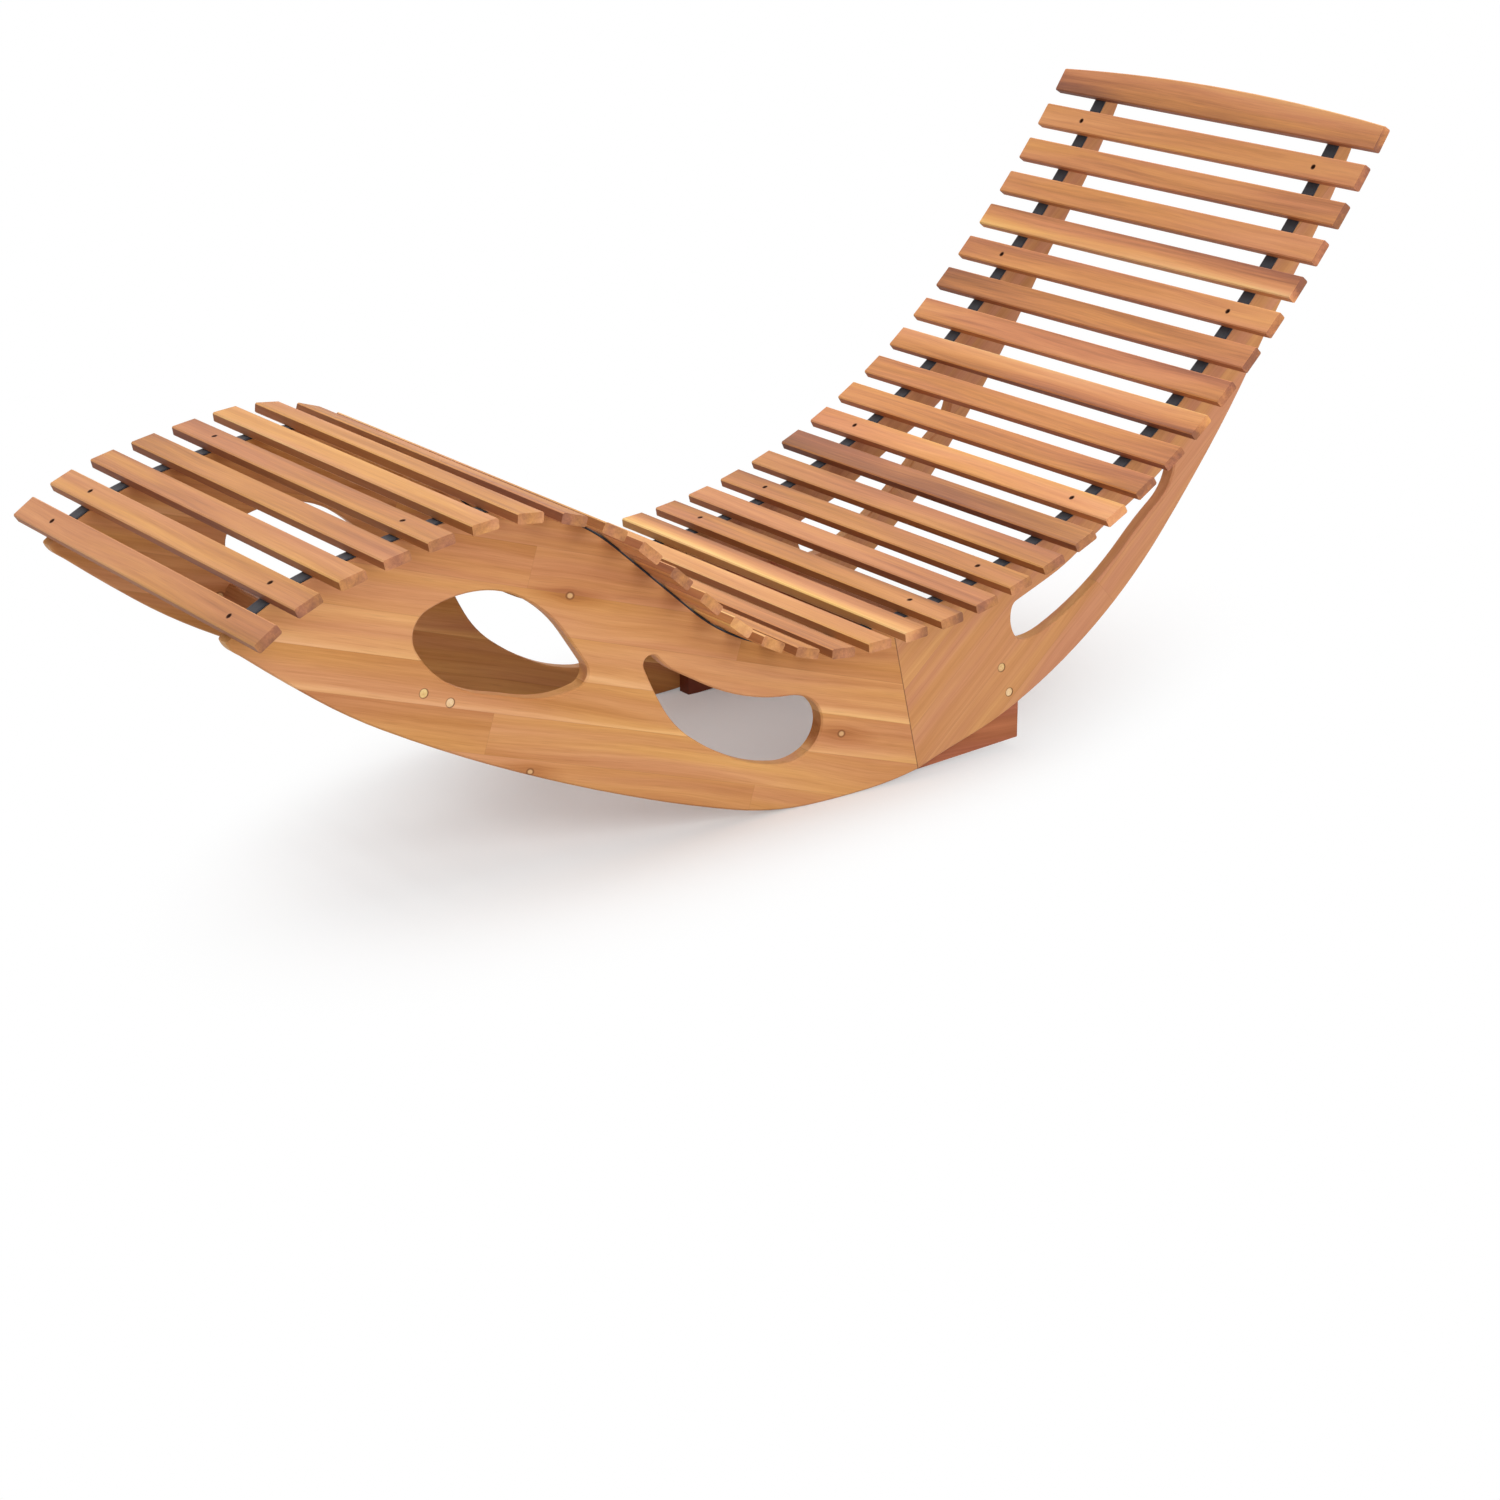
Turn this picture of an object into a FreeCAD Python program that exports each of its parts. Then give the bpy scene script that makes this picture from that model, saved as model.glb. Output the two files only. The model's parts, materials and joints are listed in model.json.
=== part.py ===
import FreeCAD, Part
import Sketcher
import math
import os
import sys

# Rocking lounger of slatted wood. +X runs from the foot to the head, +Z is up and the floor is Z = 0.
# The origin lies on the floor, midway along and across the lounger. Left (-Y) and right (+Y) are the sitter's.
# Two tall side frames carry two webbing straps, and 35 slats lie across the straps.

os.makedirs("parts", exist_ok=True)
doc = FreeCAD.newDocument("rocking_lounger")

# Driving dimensions, in millimetres and degrees
SIZES = [
    # slats
    ("slat_length", 600), ("slat_width", 32), ("slat_thickness", 12), ("slat_chamfer", 1.5),
    ("slat_pitch", 53), ("slat_count", 35), ("first_slat_place", -817), ("slat_clearance", 0.2),
    ("crown_rise", 12),
    # webbing straps
    ("strap_width", 20), ("strap_thickness", 2.5), ("strap_setback", 14),
    # side frames
    ("board_thickness", 20), ("board_chamfer", 2), ("frame_setback", 70), ("toe_overhang", 6), ("crest_overhang", -4),
    # seat line: the edge of the frames that carries the straps, from its lowest point both ways
    ("seat_low_x", -28), ("seat_low_height", 196.5),
    ("hip_radius", 271), ("hip_turn", 41.8), ("thigh_length", 137),
    ("knee_radius", 256), ("knee_turn", 50), ("calf_radius", 1371), ("calf_turn", 6.6), ("foot_radius", 291),
    ("back_radius", 794), ("back_turn", 42.7), ("neck_radius", 1530),
    # joint between the front and rear board of a frame
    ("joint_place", 101), ("joint_foot_x", 115), ("joint_foot_height", 12),
    ("front_joint_heading", 12.5), ("rear_joint_heading", 20.5), ("nose_angle", 108),
    ("crest_depth", 18.7), ("crest_heading", 8.2),
    # heel plates behind the joint
    ("heel_thickness", 20), ("heel_front_x", 66), ("heel_flat_end_x", 80), ("heel_rear_x", 283), ("heel_rise", 4.1),
    ("heel_top_height", 150), ("heel_slope_x", 217), ("heel_rear_top_height", 118), ("heel_round", 6),
    # cross rails
    ("rail_width", 68), ("rail_thickness", 20), ("rail_chamfer", 2),
    ("front_rail_x", -538), ("front_rail_height", 227), ("front_rail_tilt", -27.5),
    ("rear_rail_x", 246), ("rear_rail_height", 100), ("rear_rail_tilt", -68.8),
    # dowels through the frames into the rails, and recesses for the screws of the slats
    ("dowel_diameter", 10), ("dowel_spacing", 36), ("dowel_bite", 40), ("dowel_setback", 0.8),
    ("dowel_hole_extra", 1), ("hole_clearance", 0.05), ("recess_diameter", 5.6), ("recess_depth", 4),
]
# Outlines as stations, anticlockwise round a cut-out: x, height and heading where the outline passes them.
# Those of the rear board are given from the seat line: place along it, depth below it and heading against it.
STATIONS = {
    "underside": [(-755, 307.5, -38.5), (-604, 203, -28.7), (-267, 53.5, -19.6), (-33, 0, 0)],
    "oval": [(-561, 283, -62.8), (-473, 218, -13.8), (-406, 201.5, -6.2),
             (-350, 231, 122.8), (-403, 301, 139), (-479, 336.5, 175)],
    "bean": [(-273, 210.5, -68), (-212, 117.5, -38), (-88, 59.5, -8.5), (-28.5, 95, 80.7),
             (-72.5, 140.5, 177), (-198, 180, 149.5), (-255.5, 220.5, 128)],
    "back": [(245.5, 175, 8.9), (482, 112.5, 16.4), (695, 58, 12.9)],
    "slot": [(275, 104, -17.7), (305.5, 108, 2.6), (440, 85, 14.1), (541, 51.5, 50), (534, 46.5, 181),
             (377, 46.5, 187.4), (278, 50.5, 182.5), (264, 66, 250)],
}
# Slats that are screwed to the frames, counted from the foot
SCREWED_SLATS = (1, 2, 5, 19, 21, 24, 30, 34)

sheet = doc.addObject("Spreadsheet::Sheet", "sizes")
for row, (name, value) in enumerate(SIZES, 1):
    sheet.set("A%d" % row, name)
    sheet.set("B%d" % row, str(value))
    sheet.setAlias("B%d" % row, name)
row = len(SIZES)
for outline, points in STATIONS.items():
    for number, point in enumerate(points, 1):
        row += 1
        sheet.set("A%d" % row, "%s station %d" % (outline, number))
        for column, key, value in zip("BCD", ("place", "height", "heading"), point):
            sheet.set("%s%d" % (column, row), str(value))
            sheet.setAlias("%s%d" % (column, row), "%s_%s_%d" % (outline, key, number))
doc.recompute()


def size(name):
    """Value of one driving dimension."""
    return float(sheet.get(name))


def stations(outline):
    """Stations of an outline, as they stand in the sheet."""
    return [tuple(size("%s_%s_%d" % (outline, key, number)) for key in ("place", "height", "heading"))
            for number in range(1, len(STATIONS[outline]) + 1)]


SIDES = {"left": -1, "right": 1}


def travel(state, length, curvature):
    """Moves (x, z, heading in radians) along an arc, or a line where the curvature is 0."""
    x, z, heading = state
    if curvature == 0:
        return (x + length * math.cos(heading), z + length * math.sin(heading), heading)
    end = heading + curvature * length
    return (x + (math.sin(end) - math.sin(heading)) / curvature,
            z - (math.cos(end) - math.cos(heading)) / curvature, end)


def arc_run(radius, turn):
    """Length and curvature of an arc that turns by so many degrees; a hollow arc has a positive radius."""
    return (abs(radius) * math.radians(turn), 1 / radius)


# Runs of the seat line away from its lowest point; the last one each way goes on as far as it is needed
TO_FOOT = [arc_run(size("hip_radius"), size("hip_turn")), (size("thigh_length"), 0),
           arc_run(-size("knee_radius"), size("knee_turn")), arc_run(-size("calf_radius"), size("calf_turn")),
           (math.inf, -1 / size("foot_radius"))]
TO_HEAD = [arc_run(size("back_radius"), size("back_turn")), (math.inf, 1 / size("neck_radius"))]


def seat_state(place):
    """(x, z, heading, curvature) of the seat line at a distance from its lowest point, negative to the foot."""
    state = (size("seat_low_x"), size("seat_low_height"), 0.0)
    sign = -1 if place < 0 else 1
    left = abs(place)
    for length, curvature in (TO_FOOT if place < 0 else TO_HEAD):
        step = min(left, length)
        state = travel(state, sign * step, curvature)
        left -= step
        if left <= 0:
            break
    return state + (curvature,)


def seat_point(place, rise=0.0):
    """Point at a height above the seat line, square to it."""
    x, z, heading, _ = seat_state(place)
    return (x - rise * math.sin(heading), z + rise * math.cos(heading))


def seat_station(place, depth, heading):
    """Station given by its place along the seat line and its depth below it."""
    x, z = seat_point(place, -depth)
    return (x, z, heading + math.degrees(seat_state(place)[2]))


def seat_breaks(start, end):
    """Places between start and end where the seat line changes radius, with both ends."""
    places = []
    for runs, sign in ((TO_FOOT, -1), (TO_HEAD, 1)):
        total = 0
        for length, _ in runs[:-1]:
            total += length
            places.append(sign * total)
    places.append(0.0)
    return [start] + sorted(p for p in places if start < p < end) + [end]


def vector(point):
    return FreeCAD.Vector(point[0], point[1], 0)


def curve(start, middle, end):
    """Arc through three points, or a line where they are in line."""
    a, b, c = vector(start), vector(middle), vector(end)
    if (b - a).cross(c - a).Length < 1e-6 * (c - a).Length ** 2:
        return Part.LineSegment(a, c)
    return Part.Arc(a, b, c)


def line(start, end):
    return Part.LineSegment(vector(start), vector(end))


def seat_curves(start, end, rise=0.0):
    """The seat line between two places, raised by so much."""
    places = seat_breaks(start, end)
    return [curve(seat_point(a, rise), seat_point((a + b) / 2, rise), seat_point(b, rise))
            for a, b in zip(places, places[1:])]


def tangent_arc(start, heading, end):
    """Arc that leaves start along heading (radians) and reaches end, with its heading there."""
    dx, dz = end[0] - start[0], end[1] - start[1]
    half = math.atan2(math.cos(heading) * dz - math.sin(heading) * dx,
                      math.cos(heading) * dx + math.sin(heading) * dz)
    reach = math.hypot(dx, dz) / (2 * math.cos(half / 2))
    middle = (start[0] + reach * math.cos(heading + half / 2), start[1] + reach * math.sin(heading + half / 2))
    return curve(start, middle, end), heading + 2 * half


def smooth(stations, closed=False):
    """Two tangent arcs between each pair of stations, so that the outline has no corners."""
    curves = []
    following = stations[1:] + stations[:1] if closed else stations[1:]
    for (x0, z0, h0), (x1, z1, h1) in zip(stations, following):
        h0, h1 = math.radians(h0), math.radians(h1)
        ux, uz = math.cos(h0) + math.cos(h1), math.sin(h0) + math.sin(h1)
        vx, vz = x1 - x0, z1 - z0
        a = 2 * (math.cos(h1 - h0) - 1)
        b = -2 * (vx * ux + vz * uz)
        c = vx * vx + vz * vz
        if abs(a) < 1e-9:
            reach = -c / b
        else:
            root = math.sqrt(b * b - 4 * a * c)
            reach = max((-b - root) / (2 * a), (-b + root) / (2 * a))
        meet = ((x0 + x1 + reach * (math.cos(h0) - math.cos(h1))) / 2,
                (z0 + z1 + reach * (math.sin(h0) - math.sin(h1))) / 2)
        first, heading = tangent_arc((x0, z0), h0, meet)
        curves += [first, tangent_arc(meet, heading, (x1, z1))[0]]
    return curves


def plane(body, role):
    return next(f for f in body.Origin.OriginFeatures if f.Role == role)


def new_body(label):
    body = doc.addObject("PartDesign::Body", "Body_" + label)
    body.Label = label
    return body


def add_sketch(body, role, curves):
    """Sketch of fixed curves on one of the body's own planes."""
    sketch = body.newObject("Sketcher::SketchObject", "Outline")
    sketch.AttachmentSupport = [(plane(body, role), "")]
    sketch.MapMode = "FlatFace"
    sketch.addGeometry(curves)
    sketch.addConstraint([Sketcher.Constraint("Block", i) for i in range(len(curves))])
    return sketch


def pad(body, sketch, length, both_ways=False):
    """Pads the sketch by an expression of the sheet's sizes."""
    feature = body.newObject("PartDesign::Pad", "Pad")
    feature.Profile = sketch
    feature.setExpression("Length", length)
    feature.SideType = "Symmetric" if both_ways else "One side"
    return feature


nodes = {}


def keep(thing, label):
    """Names a finished sub-part."""
    thing.Label = label
    nodes[label] = thing
    return thing


def slat_place(number):
    """Place of a slat along the seat line, counted from the foot."""
    return size("first_slat_place") + (number - 1) * size("slat_pitch")


SLAT_COUNT = int(size("slat_count"))
TOE_PLACE = slat_place(1) - size("slat_width") / 2 - size("toe_overhang")
CREST_PLACE = slat_place(SLAT_COUNT) + size("slat_width") / 2 + size("crest_overhang")
JOINT_TOP = seat_point(size("joint_place"))
JOINT_FOOT = (size("joint_foot_x"), size("joint_foot_height"))


def front_board_outline():
    """Two lists: seat line and joint, then the underside with the oval and the bean-shaped cut-out."""
    toe = seat_point(TOE_PLACE)
    toe_heading = math.degrees(seat_state(TOE_PLACE)[2]) - size("nose_angle")
    foot = JOINT_FOOT + (size("front_joint_heading"),)
    sharp = seat_curves(TOE_PLACE, size("joint_place")) + [line(JOINT_TOP, JOINT_FOOT)]
    free = smooth([toe + (toe_heading,)] + stations("underside") + [foot])
    return sharp, free + smooth(stations("oval"), closed=True) + smooth(stations("bean"), closed=True)


def rear_board_outline():
    """Two lists: seat line and joint, then the crest and underside with the crescent slot."""
    crest = seat_station(CREST_PLACE, size("crest_depth"), size("crest_heading"))
    foot = JOINT_FOOT + (size("rear_joint_heading"),)
    back = [seat_station(*station) for station in stations("back")]
    slot = [seat_station(*station) for station in stations("slot")]
    sharp = seat_curves(size("joint_place"), CREST_PLACE) + [line(JOINT_FOOT, JOINT_TOP)]
    free = [line(seat_point(CREST_PLACE), crest[:2])] + smooth([foot] + back + [crest])
    return sharp, free + smooth(slot, closed=True)


def heel_outline():
    """Plate with a flat that stands on the floor and a rising stop behind it."""
    front, flat_end, rear = size("heel_front_x"), size("heel_flat_end_x"), size("heel_rear_x")
    stop = (rear - flat_end) * math.tan(math.radians(size("heel_rise")))
    top = size("heel_top_height")
    corners = [(front, 0), (flat_end, 0), (rear, stop), (rear, size("heel_rear_top_height")),
               (size("heel_slope_x"), top), (front, top)]
    return [line(a, b) for a, b in zip(corners, corners[1:] + corners[:1])]


def strap_outline():
    """Webbing of even thickness along the seat line."""
    start, end = TOE_PLACE + size("strap_setback"), CREST_PLACE - size("strap_setback")
    thick = size("strap_thickness")
    return (seat_curves(start, end) + seat_curves(start, end, thick)
            + [line(seat_point(start), seat_point(start, thick)), line(seat_point(end), seat_point(end, thick))])


def box_outline(width, bottom, top):
    corners = [(-width / 2, bottom), (width / 2, bottom), (width / 2, top), (-width / 2, top)]
    return [line(a, b) for a, b in zip(corners, corners[1:] + corners[:1])]


def long_edges(feature, length):
    """Names of the edges at least so long."""
    return ["Edge%d" % i for i, edge in enumerate(feature.Shape.Edges, 1) if edge.Length > length]


def edges_along(feature, curves):
    """Names of a plate's edges that follow the given curves of its outline."""
    middles = [c.value((c.FirstParameter + c.LastParameter) / 2) for c in curves]
    names = []
    for i, edge in enumerate(feature.Shape.Edges, 1):
        point = edge.valueAt((edge.FirstParameter + edge.LastParameter) / 2)
        if any(math.hypot(point.x - m.x, point.z - m.y) < 0.01 for m in middles):
            names.append("Edge%d" % i)
    return names


def ease(body, kind, names, key, value):
    """Rounds or chamfers edges of the body's last feature."""
    base = body.Tip
    feature = body.newObject("PartDesign::" + kind, kind)
    feature.Base = (base, names)
    feature.setExpression(key, value)
    body.Tip = feature


def side_plate(label, outline, sign, far, near):
    """Plate between two distances from the middle; its pad runs towards -Y."""
    body = new_body(label)
    pad(body, add_sketch(body, "XZ_Plane", outline), "%s - %s" % (far, near))
    body.setExpression("Placement.Base.y", far if sign > 0 else "-" + near)
    return body


def rod(diameter, length, point, direction):
    """Round rod; its diameter and length are expressions of the sheet's sizes."""
    shape = doc.addObject("Part::Cylinder", "Rod")
    shape.setExpression("Radius", "(%s) / 2" % diameter)
    shape.setExpression("Height", length)
    turn = FreeCAD.Rotation(FreeCAD.Vector(0, 0, 1), FreeCAD.Vector(*direction))
    shape.Placement = FreeCAD.Placement(FreeCAD.Vector(*point), turn)
    return shape


def union(shapes):
    feature = doc.addObject("Part::MultiFuse", "Union")
    feature.Shapes = shapes
    return feature


def cut(base, tools, label):
    """Sub-part that is left when the tools are taken out of the base."""
    base.Label = label + "_blank"
    feature = doc.addObject("Part::Cut", "Cut")
    feature.Base = base
    feature.Tool = union(tools)
    return keep(feature, label)


def group(shapes, label):
    """Identical pieces as one sub-part of separate solids."""
    feature = doc.addObject("Part::Compound", "Group")
    feature.Links = shapes
    return keep(feature, label)


# Faces of the frames, as distances from the middle: outer, inner, and the heel plates' inner face
OUTER = "(sizes.slat_length / 2 - sizes.frame_setback)"
INNER = "(%s - sizes.board_thickness)" % OUTER
HEEL_FACE = "(%s - sizes.heel_thickness)" % INNER
STRAP_FACES = ["(%s / 2 + %s / 2 %s sizes.strap_width / 2)" % (OUTER, INNER, way) for way in "+-"]
outer_face = size("slat_length") / 2 - size("frame_setback")
inner_face = outer_face - size("board_thickness")
heel_face = inner_face - size("heel_thickness")


# Each rail's end rests on the frame in front and on the heel plate behind
RAIL_FACES = {"front": (INNER, inner_face), "rear": (HEEL_FACE, heel_face)}


def rail_rods(sign, rail, start, diameter, extra):
    """Two rods from a distance from the middle into the end of a rail."""
    tilt = math.radians(size(rail + "_rail_tilt"))
    length = "%s - %s + sizes.dowel_bite + %s" % (OUTER, RAIL_FACES[rail][0], extra)
    rods = []
    for way in (-1, 1):
        offset = way * size("dowel_spacing") / 2
        x = size(rail + "_rail_x") + offset * math.cos(tilt)
        z = size(rail + "_rail_height") + offset * math.sin(tilt)
        rods.append(rod(diameter, length, (x, sign * start, z), (0, -sign, 0)))
    return rods


def dowels(sign, rail):
    """Their round ends lie a little below the frame's outer face."""
    return rail_rods(sign, rail, outer_face - size("dowel_setback"), "sizes.dowel_diameter", "-sizes.dowel_setback")


def dowel_bores(sign, rail):
    return rail_rods(sign, rail, outer_face, "sizes.dowel_diameter + 2 * sizes.hole_clearance",
                     "sizes.dowel_hole_extra")


def make_rail(rail):
    """Flat rail that ties the frames together, with blind bores for the dowels in its ends."""
    label = rail + "_rail"
    face, reach = RAIL_FACES[rail]
    body = new_body(label)
    outline = box_outline(size("rail_width"), -size("rail_thickness") / 2, size("rail_thickness") / 2)
    pad(body, add_sketch(body, "XZ_Plane", outline), "2 * " + face, both_ways=True)
    doc.recompute()
    ease(body, "Chamfer", long_edges(body.Tip, reach), "Size", "sizes.rail_chamfer")
    body.Placement = FreeCAD.Placement(
        FreeCAD.Vector(size(label + "_x"), 0, size(label + "_height")),
        FreeCAD.Rotation(FreeCAD.Vector(0, 1, 0), -size(label + "_tilt")))
    cut(body, dowel_bores(-1, rail) + dowel_bores(1, rail), label)


def make_board(side, sign, end, outline):
    """Front or rear board of a frame, bored for the dowels of its rail; its free edges are eased."""
    sharp, free = outline
    label = "%s_%s_board" % (side, end)
    body = side_plate(label, sharp + free, sign, OUTER, INNER)
    doc.recompute()
    ease(body, "Chamfer", edges_along(body.Tip, free), "Size", "sizes.board_chamfer")
    cut(body, dowel_bores(sign, end), label)


def make_heel(side, sign):
    """Plate glued across the joint inside the frame; its top corners are rounded."""
    body = side_plate(side + "_heel", heel_outline(), sign, INNER, HEEL_FACE)
    doc.recompute()
    corners = []
    for i, edge in enumerate(body.Tip.Shape.Edges, 1):
        ends = [vertex.Point for vertex in edge.Vertexes]
        if abs(ends[0].y - ends[1].y) > 1 and ends[0].z > size("heel_top_height") / 2:
            corners.append("Edge%d" % i)
    ease(body, "Fillet", corners, "Radius", "sizes.heel_round")
    cut(body, dowel_bores(sign, "rear"), side + "_heel")


def make_side(side, sign):
    """One side frame with its strap and dowels."""
    make_board(side, sign, "front", front_board_outline())
    make_board(side, sign, "rear", rear_board_outline())
    make_heel(side, sign)
    keep(side_plate(side + "_strap", strap_outline(), sign, *STRAP_FACES), side + "_strap")
    group([dowel for rail in RAIL_FACES for dowel in dowels(sign, rail)], side + "_rail_dowels")


def slat_rise(number):
    """Height of a slat's underside above the seat line; on a hollow curve it rests on its two edges."""
    curvature = seat_state(slat_place(number))[3]
    sag = size("slat_width") ** 2 * max(curvature, 0) / 8
    return size("strap_thickness") + size("slat_clearance") + sag


def make_slat(number):
    """Planed slat; its own frame lies under its middle, with X across it. The last one has a crowned edge."""
    label = "slat_%02d" % number
    body = new_body(label)
    length, width, thick = size("slat_length"), size("slat_width"), size("slat_thickness")
    if number == SLAT_COUNT:
        corners = [(width / 2, -length / 2), (-width / 2, -length / 2),
                   (-width / 2, length / 2), (width / 2, length / 2)]
        outline = [line(a, b) for a, b in zip(corners, corners[1:])]
        outline.append(curve(corners[-1], (width / 2 + size("crown_rise"), 0), corners[0]))
        pad(body, add_sketch(body, "XY_Plane", outline), "sizes.slat_thickness")
    else:
        pad(body, add_sketch(body, "XZ_Plane", box_outline(width, 0, thick)), "sizes.slat_length", both_ways=True)
    doc.recompute()
    ease(body, "Chamfer", long_edges(body.Tip, 0.9 * length), "Size", "sizes.slat_chamfer")
    if number in SCREWED_SLATS:
        sink_recesses(body)
    x, z = seat_point(slat_place(number), slat_rise(number))
    tilt = math.degrees(seat_state(slat_place(number))[2])
    body.Placement = FreeCAD.Placement(FreeCAD.Vector(x, 0, z), FreeCAD.Rotation(FreeCAD.Vector(0, 1, 0), -tilt))
    keep(body, label)


def sink_recesses(body):
    """Blind holes over the middle of each frame, at whose bottom a screw's head lies."""
    circles = [Part.Circle(FreeCAD.Vector(0, way, 0), FreeCAD.Vector(0, 0, 1), 1) for way in (-1, 1)]
    sketch = body.newObject("Sketcher::SketchObject", "Circles")
    sketch.AttachmentSupport = [(plane(body, "XY_Plane"), "")]
    sketch.MapMode = "FlatFace"
    sketch.setExpression("AttachmentOffset.Base.z", "sizes.slat_thickness")
    sketch.addGeometry(circles)
    for i, way in enumerate((1, -1)):
        sketch.addConstraint(Sketcher.Constraint("PointOnObject", i, 3, -2))
        place = sketch.addConstraint(Sketcher.Constraint("DistanceY", i, 3, -1, 1, way))
        sketch.setExpression("Constraints[%d]" % place, "%d * (%s + %s) / 2" % (way, OUTER, INNER))
        radius = sketch.addConstraint(Sketcher.Constraint("Radius", i, 1))
        sketch.setExpression("Constraints[%d]" % radius, "sizes.recess_diameter / 2")
    pocket = body.newObject("PartDesign::Pocket", "Recesses")
    pocket.Profile = sketch
    pocket.setExpression("Length", "sizes.recess_depth")
    body.Tip = pocket


for slat_number in range(1, SLAT_COUNT + 1):
    make_slat(slat_number)
for rail_name in RAIL_FACES:
    make_rail(rail_name)
for side_name, side_sign in SIDES.items():
    make_side(side_name, side_sign)
doc.recompute()

for thing in doc.Objects:
    if "Invalid" in thing.State or "Error" in thing.State:
        sys.exit("%s (%s) did not build: %s" % (thing.Label, thing.Name, thing.State))
for label, thing in nodes.items():
    shape = thing.Shape
    if shape.isNull() or not shape.isValid() or shape.Volume <= 0:
        sys.exit("%s has no valid solid" % label)
    shape.exportStep("parts/%s.step" % label)
    box = shape.BoundBox
    print("%-20s %2d solids %9.1f cm3  x %7.1f %7.1f  y %7.1f %7.1f  z %6.1f %6.1f" % (
        label, len(shape.Solids), shape.Volume / 1000, box.XMin, box.XMax, box.YMin, box.YMax, box.ZMin, box.ZMax))
whole = [node.Shape.BoundBox for node in nodes.values()]
print("nodes %d  x %.2f %.2f  z %.2f %.2f" % (len(nodes), min(b.XMin for b in whole), max(b.XMax for b in whole),
                                          min(b.ZMin for b in whole), max(b.ZMax for b in whole)))
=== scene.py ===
import json
import math

import bmesh
import bpy
from mathutils import Matrix, Vector

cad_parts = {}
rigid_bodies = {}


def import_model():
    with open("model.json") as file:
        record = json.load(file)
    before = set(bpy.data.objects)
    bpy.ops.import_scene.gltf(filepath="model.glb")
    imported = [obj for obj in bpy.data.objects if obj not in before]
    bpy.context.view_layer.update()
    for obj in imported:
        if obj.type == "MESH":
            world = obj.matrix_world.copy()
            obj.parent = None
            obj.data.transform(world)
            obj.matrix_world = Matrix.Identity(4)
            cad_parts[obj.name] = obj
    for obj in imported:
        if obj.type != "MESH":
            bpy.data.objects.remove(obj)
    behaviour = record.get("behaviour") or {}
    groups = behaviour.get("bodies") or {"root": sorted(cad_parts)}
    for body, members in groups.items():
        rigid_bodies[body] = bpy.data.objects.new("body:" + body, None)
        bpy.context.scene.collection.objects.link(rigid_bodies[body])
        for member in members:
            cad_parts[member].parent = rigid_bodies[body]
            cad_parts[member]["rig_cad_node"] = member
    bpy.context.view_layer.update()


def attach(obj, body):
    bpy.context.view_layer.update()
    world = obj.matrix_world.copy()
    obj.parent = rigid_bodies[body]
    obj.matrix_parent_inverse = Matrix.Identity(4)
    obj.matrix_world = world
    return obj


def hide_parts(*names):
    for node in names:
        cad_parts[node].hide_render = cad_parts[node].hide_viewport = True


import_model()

# Rocking lounger of slatted wood. Lengths are in millimetres and angles in degrees unless a name or a
# comment says otherwise; every mesh is made in metres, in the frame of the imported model.
MM = 0.001

# The seat line is the edge of the side frames that carries the straps and the slats. It is given by its
# lowest point and the runs away from it: (radius, turn) for an arc, with a positive radius where it is
# hollow, and (None, length) for a straight run. The last run each way goes on as far as it is needed.
SEAT_LOW = (-28, 196.5)
TO_FOOT = ((271, 41.8), (None, 137), (-256, 50), (-1371, 6.6), (-291, None))
TO_HEAD = ((794, 42.7), (1530, None))
SLAT_PITCH, FIRST_SLAT, SLAT_COUNT = 53, -817, 35
SLAT_LENGTH, SLAT_WIDTH, SLAT_THICKNESS = 600, 32, 12
STRAP_START, STRAP_END, STRAP_WIDTH, STRAP_THICKNESS = -825, 983, 20, 2.5
SLAT_CLEARANCE, FRAME_MIDDLE, RECESS_DEPTH = 0.2, 220, 4
# Slats that are screwed to the frames, counted from the foot
SCREWED_SLATS = (1, 2, 5, 19, 21, 24, 30, 34)
SIDES = (("left", -1), ("right", 1))


def seat_state(place):
    """(x, z, heading in radians, curvature) of the seat line at a distance from its lowest point,
    negative to the foot."""
    x, z, heading = *SEAT_LOW, 0.0
    left, sign = abs(place), -1 if place < 0 else 1
    for radius, extent in (TO_FOOT if place < 0 else TO_HEAD):
        curvature = 0.0 if radius is None else 1 / radius
        if extent is None:
            length = math.inf
        else:
            length = extent if radius is None else abs(radius) * math.radians(extent)
        step = sign * min(left, length)
        if curvature:
            end = heading + curvature * step
            x += (math.sin(end) - math.sin(heading)) / curvature
            z -= (math.cos(end) - math.cos(heading)) / curvature
            heading = end
        else:
            x, z = x + step * math.cos(heading), z + step * math.sin(heading)
        left -= abs(step)
        if left <= 0:
            break
    return x, z, heading, curvature


def seat_frame(place, rise, across=0.0):
    """Matrix of a frame on the seat line in metres: X along it, Y across the lounger, Z square to it."""
    x, z, heading, _ = seat_state(place)
    turn = Matrix.Rotation(-heading, 4, "Y")
    x, z = x - rise * math.sin(heading), z + rise * math.cos(heading)
    return Matrix.Translation(Vector((x, across, z)) * MM) @ turn


def slat_place(number):
    """Place of a slat's middle on the seat line."""
    return FIRST_SLAT + (number - 1) * SLAT_PITCH


def slat_rise(number):
    """Height of a slat's underside above the seat line; on a hollow curve it rests on its two edges."""
    sag = SLAT_WIDTH ** 2 * max(seat_state(slat_place(number))[3], 0) / 8
    return STRAP_THICKNESS + SLAT_CLEARANCE + sag


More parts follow.
